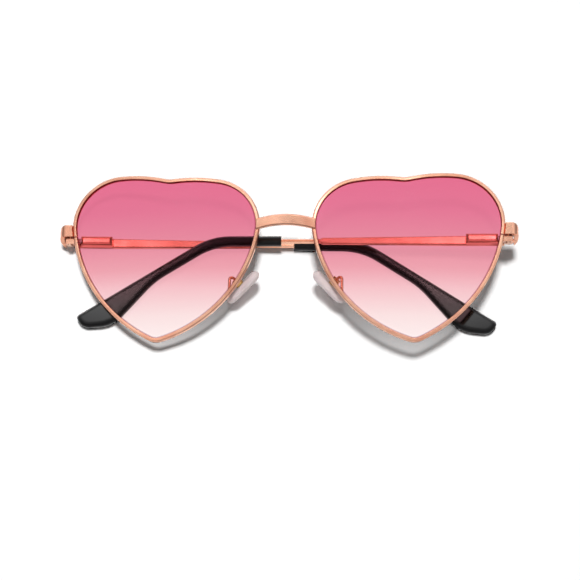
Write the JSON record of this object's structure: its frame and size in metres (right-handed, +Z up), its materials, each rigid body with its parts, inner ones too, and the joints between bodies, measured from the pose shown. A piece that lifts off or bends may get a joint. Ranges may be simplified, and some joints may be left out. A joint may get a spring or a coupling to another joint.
{
  "type": "folding sunglasses",
  "caption": "Heart shaped metal sunglasses with tinted lenses, rocking nose pads and spring hinged temples with black tips, lying folded.",
  "frame": {"origin": "under the middle of the folded object, at the level of the surface it lies on", "axes": "+X along the width to the viewer's right, +Y to the top of the lenses, +Z up, out of the front of the lenses"},
  "size_m": [0.145, 0.0544, 0.0181],
  "materials": {
    "rose_gold": "polished rose gold plating",
    "gold_plate": "polished gold plating",
    "screw_metal": "plated, bright",
    "spring_steel": "bright steel",
    "tinted_lens": "clear, tinted deeper at the top",
    "black_tip": "glossy moulded",
    "clear_silicone": "translucent, soft"
  },
  "bodies": {
    "front": {"rim_left": "rose_gold", "rim_right": "rose_gold", "lens_left": "tinted_lens", "lens_right": "tinted_lens", "bridge": "rose_gold", "end_piece_left": "rose_gold", "end_piece_right": "rose_gold", "closing_block_upper_left": "rose_gold", "closing_block_upper_right": "rose_gold", "closing_block_lower_left": "rose_gold", "closing_block_lower_right": "rose_gold", "closing_screws": "screw_metal", "hinge_screws": "screw_metal", "pad_arm_left": "rose_gold", "pad_arm_right": "rose_gold"},
    "slider_left": {"hinge_slider_left": "spring_steel"},
    "temple_left": {"temple_arm_left": "rose_gold", "spring_box_left": "rose_gold", "spring_bush_left": "spring_steel", "hinge_spring_left": "spring_steel", "temple_tip_left": "black_tip"},
    "pad_left": {"nose_pad_left": "clear_silicone", "pad_box_left": "gold_plate", "pad_screw_left": "screw_metal"},
    "slider_right": {"hinge_slider_right": "spring_steel"},
    "temple_right": {"temple_arm_right": "rose_gold", "spring_box_right": "rose_gold", "spring_bush_right": "spring_steel", "hinge_spring_right": "spring_steel", "temple_tip_right": "black_tip"},
    "pad_right": {"nose_pad_right": "clear_silicone", "pad_box_right": "gold_plate", "pad_screw_right": "screw_metal"}
  },
  "joints": [
    {"name": "temple_fold_left", "type": "hinge", "parent": "front", "child": "slider_left", "pos_m": [-0.06933, 0.0078, 0.00303], "axis": [-0.0019, 0.9995, 0.0326], "range_deg": [0, 94]},
    {"name": "spring_travel_left", "type": "slide", "parent": "slider_left", "child": "temple_left", "axis": [0.9999, 0.0015, 0.0117], "range_m": [0, 0.0012], "stiffness_N_per_m": 3000, "springref_m": -0.0006, "deforming": ["hinge_spring_left"]},
    {"name": "nose_pad_rock_left", "type": "hinge", "parent": "front", "child": "pad_left", "pos_m": [-0.01533, -0.00699, 0.00728], "axis": [0.073, -0.5627, 0.8235], "range_deg": [-12, 12]},
    {"name": "temple_fold_right", "type": "hinge", "parent": "front", "child": "slider_right", "pos_m": [0.06945, 0.0078, 0.01096], "axis": [0.0019, -0.9995, -0.0326], "range_deg": [0, 97]},
    {"name": "spring_travel_right", "type": "slide", "parent": "slider_right", "child": "temple_right", "axis": [-0.9989, -0.0003, -0.0466], "range_m": [0, 0.0012], "stiffness_N_per_m": 3000, "springref_m": -0.0006, "deforming": ["hinge_spring_right"]},
    {"name": "nose_pad_rock_right", "type": "hinge", "parent": "front", "child": "pad_right", "pos_m": [0.01532, -0.00699, 0.00903], "axis": [-0.1663, -0.5627, 0.8098], "range_deg": [-12, 12]}
  ]
}
